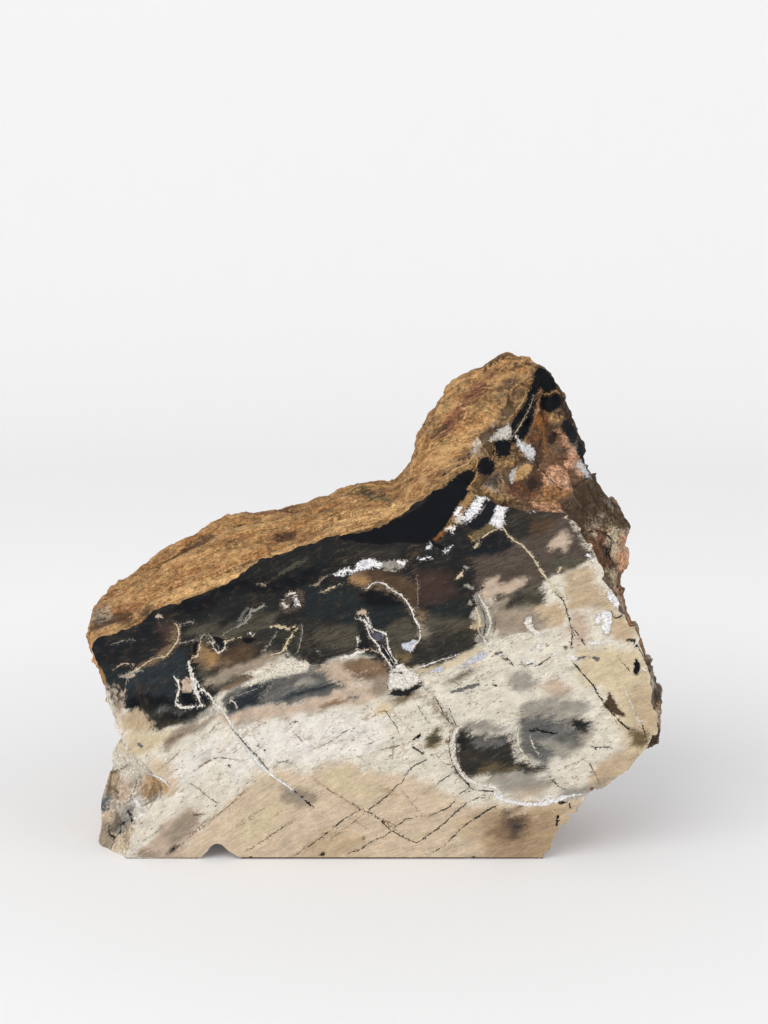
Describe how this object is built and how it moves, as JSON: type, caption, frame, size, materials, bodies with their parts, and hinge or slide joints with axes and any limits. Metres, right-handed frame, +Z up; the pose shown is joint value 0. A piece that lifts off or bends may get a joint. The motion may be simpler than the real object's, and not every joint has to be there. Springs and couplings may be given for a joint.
{
  "type": "petrified wood sculpture",
  "caption": "Free-standing lump of petrified wood with a sawn and polished front, a sawn flat base, a rough bark-like rind on top and a broken peak at one side.",
  "frame": {"origin": "on the surface the stone stands on, under the middle of its bounding box", "axes": "+Z up, the polished front faces -Y, +X to the right of someone looking at that front"},
  "size_m": [0.3617, 0.1362, 0.3099],
  "materials": {
    "petrified_wood": "silicified stone: polished black, cream and tan banded front with white quartz veins, rough tan-orange rind elsewhere"
  },
  "bodies": {
    "root": {"petrified_wood": "petrified_wood"}
  },
  "joints": []
}
